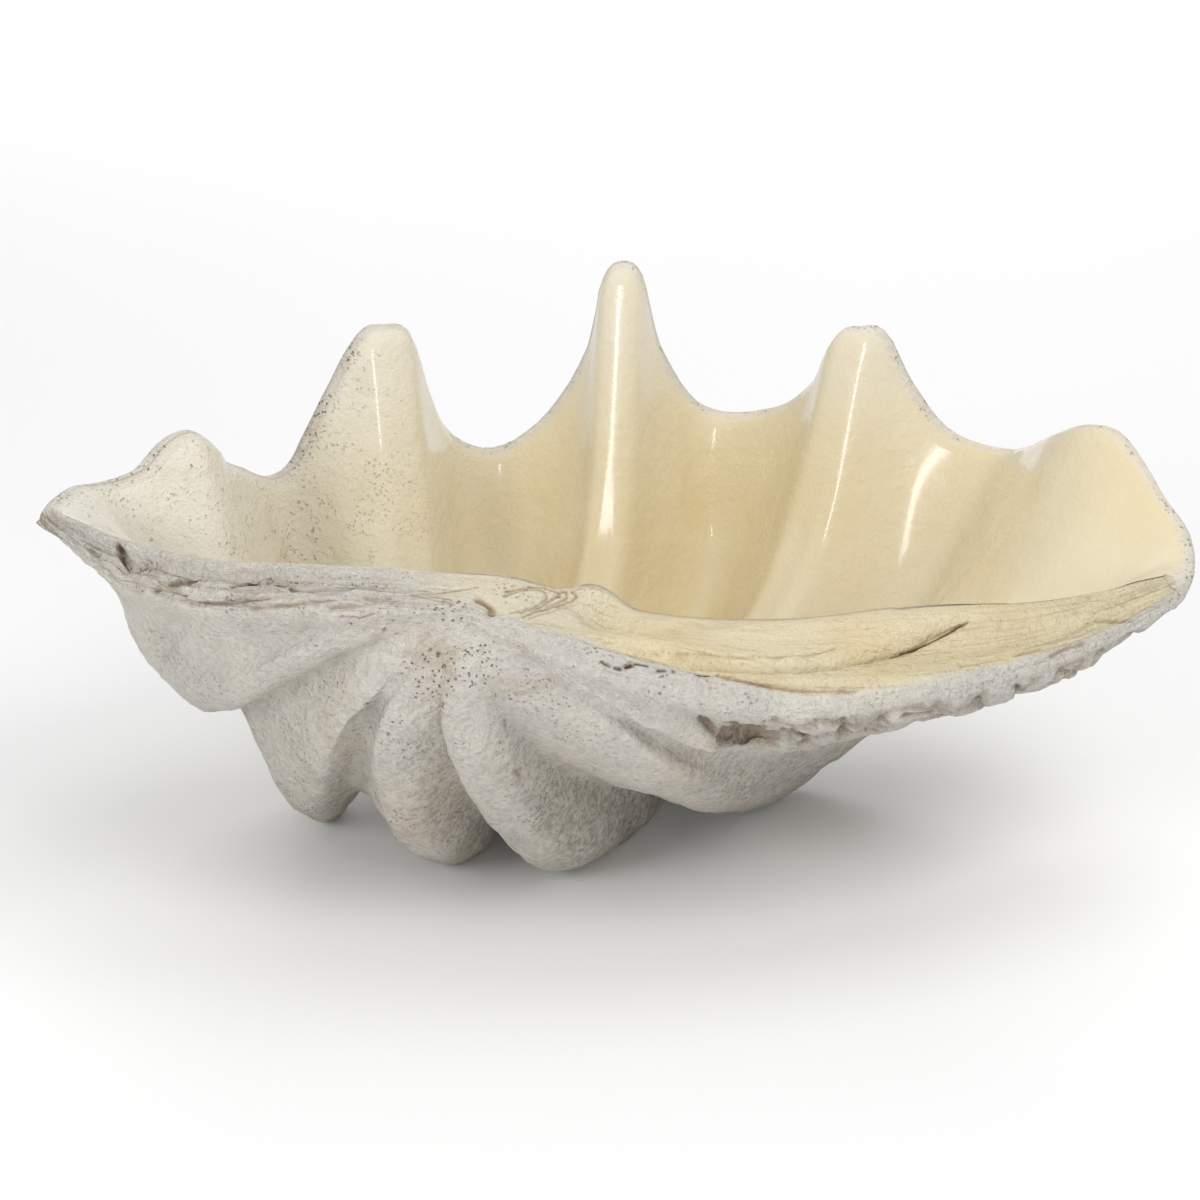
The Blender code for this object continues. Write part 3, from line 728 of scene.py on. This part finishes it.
def weathered(points, facing, marks, lines):
    """Height of the natural roughness at each point, and the values for its looks."""
    short, long, inside, over, around, along = marks.T
    band, slope, flat = long_rim_zones(points, long, over, along)
    outer = common_shares(points, marks, band)[0]
    chalk, grain, cracks = chalk_relief(points, outer, around, along)
    height = outer * chalk

    # Short side of the rim: stringy layers that run to the beak
    strings = rough(np.column_stack([over * 0.9, along * 0.09, 0 * over]), 0.07, 61)
    fade = ease(0.0, 0.08, over) * ease(0.0, 0.10, 1 - over) * ease(0.02, 0.12, along)
    smooth = 1 - 0.75 * ease(0.62, 0.75, over)
    layers = STRING_HEIGHT * strings + RIM_GRAIN_HEIGHT * grain
    height = height + short * fade * smooth * layers

    # Long side: chalk on the worn band, fine lines along the slope and the plate
    streaks = rough(np.column_stack([over * 1.6, along * 0.10, 0 * over]), 0.05, 81)
    end = ease(0.0, 0.06, 1 - over) * ease(0.03, 0.12, along)
    fine_lines = (slope * SLOPE_HEIGHT + flat * FLAT_HEIGHT) * streaks
    height = height + end * (band * chalk * 0.9 + fine_lines)

    # Inside: a slow swell; then the cuts of all sides
    height = height + inside * INSIDE_HEIGHT * rough(points, 0.08, 91, 2)
    depth, dirt_and_shadow = cut_depth(points, lines)
    looks = glaze_looks(points, marks, band, slope, flat)
    looks.update(dirt_and_shade_looks(points, facing, marks, band, slope, cracks, depth, dirt_and_shadow))
    return height - depth, looks, np.column_stack([over, around, along])


def build_shell():
    """The finished skin: smoothed at the beak, refined along its cuts, weathered."""
    skin = fine_skin()
    points = scooped(np.array(skin.points))
    marks = np.array(skin.marks)
    side, a, b = marks.T
    beak = np.linalg.norm(points - np.array(BEAK), axis=1)
    crease = ((side == LONG) + (side == SHORT)) * (1 - ease(0.08, 0.16, a))
    crease = crease + (side == OUTSIDE) * ((1 - ease(0.01, 0.03, a)) + ease(0.97, 0.99, a))
    share = np.clip(crease + (1 - ease(0.035, 0.07, beak)), 0, 1) * (1 - ease(0.92, 0.98, b))
    points = melted(points, skin.faces, share, MELT_ROUNDS)
    lines = cut_lines(points, marks)
    mesh, marks = refined(points, skin.faces, spread(marks), lines)
    points = np.zeros(len(mesh.vertices) * 3, dtype=np.float32)
    facing = np.zeros(len(mesh.vertices) * 3, dtype=np.float32)
    mesh.vertices.foreach_get("co", points)
    mesh.vertex_normals.foreach_get("vector", facing)
    points, facing = points.reshape(-1, 3).astype(float), facing.reshape(-1, 3).astype(float)
    height, looks, ways = weathered(points, facing, marks, lines)
    points = points + facing * height[:, None]
    points[:, 2] = np.maximum(points[:, 2], 0.0)
    points = points + np.array(ORIGIN_SHIFT)
    mesh.vertices.foreach_set("co", points.astype(np.float32).ravel())
    for name, values in looks.items():
        layer = mesh.attributes.new(name, "FLOAT", "POINT")
        layer.data.foreach_set("value", np.asarray(values, dtype=np.float32))
    layer = mesh.attributes.new("ways", "FLOAT_VECTOR", "POINT")
    layer.data.foreach_set("vector", ways.astype(np.float32).ravel())
    mesh.shade_smooth()
    mesh.update()
    shell = bpy.data.objects.new("shell_skin", mesh)
    bpy.context.scene.collection.objects.link(shell)
    return shell


class Tree:
    """Short way to build a material's nodes; scales are per metre."""

    def __init__(self, material):
        material.use_nodes = True
        self.nodes = material.node_tree.nodes
        self.links = material.node_tree.links
        self.surface = self.nodes["Principled BSDF"]
        self.place = self.nodes.new("ShaderNodeTexCoord").outputs["Object"]

    def plug(self, value, socket):
        """Links a socket, or sets a plain value."""
        if isinstance(value, bpy.types.NodeSocket):
            self.links.new(value, socket)
        else:
            socket.default_value = value

    def mark(self, name, output="Fac"):
        """Values that the skin carries at its points."""
        node = self.nodes.new("ShaderNodeAttribute")
        node.attribute_name = name
        return node.outputs[output]

    def math(self, kind, *values):
        node = self.nodes.new("ShaderNodeMath")
        node.operation = kind
        for value, socket in zip(values, node.inputs):
            self.plug(value, socket)
        return node.outputs[0]

    def times(self, *values):
        """Product of sockets and numbers."""
        product = values[0]
        for value in values[1:]:
            product = self.math("MULTIPLY", product, value)
        return product

    def stretched(self, vector, scales):
        node = self.nodes.new("ShaderNodeVectorMath")
        node.operation = "MULTIPLY"
        self.plug(vector, node.inputs[0])
        node.inputs[1].default_value = scales
        return node.outputs[0]

    def noise(self, scale, detail=4.0, roughness=0.55, distortion=0.0, place=None):
        node = self.nodes.new("ShaderNodeTexNoise")
        self.plug(place or self.place, node.inputs["Vector"])
        node.inputs["Scale"].default_value = scale
        node.inputs["Detail"].default_value = detail
        node.inputs["Roughness"].default_value = roughness
        node.inputs["Distortion"].default_value = distortion
        return node.outputs["Fac"]

    def cells(self, scale):
        """Distance to the nearest of many spots, with ragged outlines."""
        shift = self.nodes.new("ShaderNodeTexNoise")
        self.plug(self.place, shift.inputs["Vector"])
        shift.inputs["Scale"].default_value = scale * 1.7
        push = self.nodes.new("ShaderNodeVectorMath")
        push.operation = "MULTIPLY_ADD"
        self.plug(shift.outputs["Color"], push.inputs[0])
        push.inputs[1].default_value = (0.9 / scale,) * 3
        self.plug(self.place, push.inputs[2])
        node = self.nodes.new("ShaderNodeTexVoronoi")
        self.plug(push.outputs[0], node.inputs["Vector"])
        node.inputs["Scale"].default_value = scale
        return node.outputs["Distance"]

    def span(self, value, low, high, start=0.0, end=1.0):
        """Smooth step from start at low to end at high."""
        node = self.nodes.new("ShaderNodeMapRange")
        node.interpolation_type = "SMOOTHSTEP"
        self.plug(value, node.inputs[0])
        for k, number in enumerate((low, high, start, end)):
            node.inputs[k + 1].default_value = number
        return node.outputs[0]

    def mix(self, share, first, second):
        node = self.nodes.new("ShaderNodeMix")
        node.data_type = "RGBA"
        self.plug(share, node.inputs["Factor"])
        self.plug(first, node.inputs[6])
        self.plug(second, node.inputs[7])
        return node.outputs[2]

    def bump(self, height):
        """Normals for a height in metres."""
        node = self.nodes.new("ShaderNodeBump")
        node.inputs["Strength"].default_value = 1.0
        node.inputs["Distance"].default_value = 1.0
        self.plug(height, node.inputs["Height"])
        return node.outputs[0]


# Colours of the shell, its dirt and its painted shade
CHALK = (0.73, 0.69, 0.62, 1.0)
CHALK_GREY = (0.60, 0.585, 0.555, 1.0)
CHALK_WARM = (0.70, 0.62, 0.51, 1.0)
CREAM = (0.70, 0.60, 0.385, 1.0)
AMBER = (0.66, 0.51, 0.27, 1.0)
PORCELAIN = (0.76, 0.725, 0.63, 1.0)
BROWN = (0.105, 0.055, 0.027, 1.0)
RUST = (0.29, 0.175, 0.085, 1.0)
OCHRE = (0.42, 0.31, 0.19, 1.0)
# dark grey of the grain in the stucco hollows and of the painted shade
GRAIN_AND_SHADE_GREY = (0.30, 0.26, 0.21, 1.0)

# Fine relief of the material in metres, and the sharpness of its glaze
STUCCO_RELIEF = 0.0068
CRUMB_RELIEF = 0.0060
PINHOLE_RELIEF = -0.0016
STREAK_RELIEF = -0.0006
SWELL_RELIEF = 0.0017
PEEL_RELIEF = 0.0005
COAT_ROUGHNESS = 0.13
CHALK_ROUGHNESS = 0.88

# How fast the streaks change over the rim, round the shell and along it
STREAK_STRETCH = (46.0, 3.0, 11.0)

# The seam's half width, as a share of the rim: dark up to the first, gone at the second
SEAM_EDGES = (0.005, 0.014)


def shell_material():
    """Chalk, glaze, stains, grain and painted shade in one procedural material."""
    material = bpy.data.materials.new("shell")
    t = Tree(material)
    worn, cream, gloss = t.mark("worn"), t.mark("cream"), t.mark("gloss")
    stain, dirt_and_shadow, painted_shade = t.mark("stain"), t.mark("dirt_and_shadow"), t.mark("painted_shade")
    along_rim = t.stretched(t.mark("ways", "Vector"), STREAK_STRETCH)
    stucco = t.noise(215.0, 4.0, 0.66)

    # Outside: chalk with greyer and warmer clouds, and a fine dark grain in the stucco hollows,
    # darker where the painted shade is
    clouds = t.span(t.noise(16.0, 5.0), 0.40, 0.66)
    chalk = t.mix(t.times(clouds, 0.55), CHALK, CHALK_GREY)
    warm = t.span(t.noise(11.0, 4.0, 0.6, 0.4), 0.48, 0.68)
    chalk = t.mix(t.times(warm, 0.5), chalk, CHALK_WARM)
    hollow = t.span(stucco, 0.40, 0.55, 1.0, 0.0)
    chalk = t.mix(t.times(hollow, t.math("ADD", 0.17, t.times(painted_shade, 0.55))), chalk, GRAIN_AND_SHADE_GREY)

    # Inside: porcelain that deepens to cream, and to amber in slow patches
    depth = t.times(cream, t.span(t.noise(7.0, 3.0), 0.25, 0.75, 0.75, 1.1))
    glaze = t.mix(depth, PORCELAIN, CREAM)
    amber = t.times(t.span(cream, 0.80, 1.0), t.span(t.noise(10.0, 2.0), 0.5, 0.75))
    glaze = t.mix(t.times(amber, 0.5), glaze, AMBER)
    streak = t.span(t.noise(1.0, 4.0, 0.6, 0.3, along_rim), 0.50, 0.72)
    rims = t.times(t.span(gloss, 0.60, 0.75, 1.0, 0.0), t.span(cream, 0.05, 0.30))
    glaze = t.mix(t.times(streak, rims, 0.34), glaze, OCHRE)
    colour = t.mix(worn, glaze, chalk)

    # Painted shade as a broken grey film, low down and on shaded flanks; dirt as ochre wash and
    # streaks, brown in specks, pits and cracks; painted shadow in brown for the recess behind the
    # beak and the large pocket
    painted_shade_film = t.times(painted_shade, t.span(t.noise(90.0, 5.0, 0.7), 0.36, 0.62, 0.35, 1.0))
    colour = t.mix(t.times(painted_shade_film, 0.50), colour, GRAIN_AND_SHADE_GREY)
    wash = t.times(t.span(t.noise(24.0, 6.0, 0.7), 0.52, 0.74), stain)
    colour = t.mix(t.times(wash, 0.42), colour, OCHRE)
    strings = t.times(streak, t.span(stain, 0.60, 0.85), t.math("SUBTRACT", 1.0, gloss))
    colour = t.mix(t.times(strings, 0.42), colour, OCHRE)
    dots = t.span(t.cells(300.0), 0.15, 0.32, 1.0, 0.0)
    where = t.span(t.noise(30.0, 4.0, 0.65), 0.49, 0.57)
    blots = t.span(t.cells(150.0), 0.08, 0.20, 1.0, 0.0)
    rare = t.span(t.noise(45.0, 3.0, 0.6), 0.56, 0.64)
    specks = t.times(t.math("MAXIMUM", t.times(dots, where), t.times(blots, rare)), stain)
    broken = t.span(t.noise(120.0, 4.0, 0.7), 0.30, 0.60, 0.45, 1.0)
    by_seam = t.span(t.math("ABSOLUTE", t.mark("seam")), *SEAM_EDGES, 1.0, 0.0)
    split = t.times(by_seam, t.mark("split"))
    dark = t.math("MAXIMUM", t.span(dirt_and_shadow, 0.70, 1.0), t.math("MAXIMUM", specks, split))
    brown = t.math("MAXIMUM", t.times(dirt_and_shadow, broken), t.math("MAXIMUM", t.times(specks, 0.85), split))
    colour = t.mix(t.times(brown, 0.94), colour, t.mix(dark, RUST, BROWN))
    t.plug(colour, t.surface.inputs["Base Color"])

    # Chalky outside, glazed inside; dirt and the painted shadow in brown dull the glaze
    smear = t.span(t.noise(40.0, 4.0), 0.3, 0.7, -0.05, 0.07)
    clean = t.math("SUBTRACT", gloss, t.times(brown, 0.7))
    dull = t.math("SUBTRACT", CHALK_ROUGHNESS, t.times(clean, 0.60))
    t.plug(t.math("ADD", dull, smear), t.surface.inputs["Roughness"])
    shine = t.math("SUBTRACT", t.span(gloss, 0.45, 0.95, 0.0, 0.9), t.times(brown, 0.5))
    t.plug(shine, t.surface.inputs["Coat Weight"])
    t.surface.inputs["Coat Roughness"].default_value = COAT_ROUGHNESS

    # Fine relief in metres: stucco grain and pinholes outside, a faint swell inside
    coarse = t.math("SUBTRACT", 1.0, gloss)
    crumbs = t.times(t.noise(85.0, 4.0, 0.6), CRUMB_RELIEF)
    relief = t.math("ADD", t.times(stucco, STUCCO_RELIEF), crumbs)
    relief = t.times(relief, coarse)
    relief = t.math("ADD", relief, t.times(specks, PINHOLE_RELIEF))
    relief = t.math("ADD", relief, t.times(streak, coarse, STREAK_RELIEF))
    swell = t.times(t.noise(42.0, 5.0, 0.6), gloss, SWELL_RELIEF)
    swell = t.math("ADD", swell, t.times(t.noise(190.0, 3.0, 0.6), gloss, PEEL_RELIEF))
    t.plug(t.bump(t.math("ADD", relief, swell)), t.surface.inputs["Normal"])
    return material


def floor_material():
    material = bpy.data.materials.new("studio_floor")
    t = Tree(material)
    t.surface.inputs["Base Color"].default_value = FLOOR_COLOUR
    t.surface.inputs["Roughness"].default_value = 0.9
    return material


def soft_light(name, place, size, power, target, mirrored):
    """Rectangular lamp that points at its target."""
    lamp = bpy.data.lights.new(name, "AREA")
    lamp.shape = "RECTANGLE"
    lamp.size, lamp.size_y = size
    lamp.energy = power
    holder = bpy.data.objects.new(name, lamp)
    holder.location = place
    way = Vector(target) - Vector(place)
    holder.rotation_euler = way.to_track_quat("-Z", "Y").to_euler()
    holder.visible_glossy = mirrored
    bpy.context.scene.collection.objects.link(holder)


# Studio: floor, sky and soft lights, aimed at the shell or at the floor behind it
FLOOR_SIZE = 12.0
FLOOR_COLOUR = (0.88, 0.88, 0.88, 1.0)
SKY_COLOUR = (1.0, 1.0, 1.0, 1.0)
SKY_STRENGTH = 0.56
SHELL_MIDDLE = (0.0, 0.0, 0.15)
FLOOR_BEHIND = (0.0, 2.4, 0.0)

# Lights: name, place, size in metres, watts, target, and whether the glaze mirrors it
LIGHTS = (
    ("key", (-1.5, -1.8, 1.2), (0.7, 0.7), 18.0, SHELL_MIDDLE, False),
    ("strip", (0.32, -2.4, 0.50), (0.18, 0.85), 7.0, SHELL_MIDDLE, True),
    ("fill", (1.1, -1.6, 2.4), (1.4, 1.2), 27.0, SHELL_MIDDLE, False),
    ("top", (0.7, 0.2, 2.5), (1.4, 1.2), 12.0, SHELL_MIDDLE, False),
    ("wash", (0.0, 3.6, 2.2), (3.0, 1.0), 55.0, FLOOR_BEHIND, False),
)

# Camera: photo's view, seen from the hinge side and a little above
CAMERA_RISE = math.radians(22.0)
CAMERA_DISTANCE = 2.8
CAMERA_LENS_MM = 121.0
CAMERA_SENSOR_MM = 36.0
CAMERA_CLIP_END = 50.0
CAMERA_TARGET = Vector((-0.015, 0.0126, 0.172))


def set_camera():
    """Camera that looks at the shell the way the photo does."""
    data = bpy.data.cameras.new("camera")
    data.lens = CAMERA_LENS_MM
    data.sensor_width = CAMERA_SENSOR_MM
    data.clip_end = CAMERA_CLIP_END
    camera = bpy.data.objects.new("camera", data)
    back = Vector((0.0, -math.cos(CAMERA_RISE), math.sin(CAMERA_RISE)))
    camera.location = CAMERA_TARGET + back * CAMERA_DISTANCE
    camera.rotation_euler = (-back).to_track_quat("-Z", "Y").to_euler()
    bpy.context.scene.collection.objects.link(camera)
    bpy.context.scene.camera = camera


def set_studio():
    """Plain pale floor, white sky and the lights."""
    bpy.ops.mesh.primitive_plane_add(size=FLOOR_SIZE, location=(0.0, 0.0, 0.0))
    floor = bpy.context.object
    floor.name = "studio_floor"
    floor.data.materials.append(floor_material())
    world = bpy.data.worlds.new("studio")
    world.use_nodes = True
    sky = world.node_tree.nodes["Background"]
    sky.inputs["Color"].default_value = SKY_COLOUR
    sky.inputs["Strength"].default_value = SKY_STRENGTH
    bpy.context.scene.world = world
    bpy.context.scene.view_settings.view_transform = "Standard"
    for light in LIGHTS:
        soft_light(*light)


shell = build_shell()
shell.data.materials.append(shell_material())
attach(shell, "root")
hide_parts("shell")
set_studio()
set_camera()
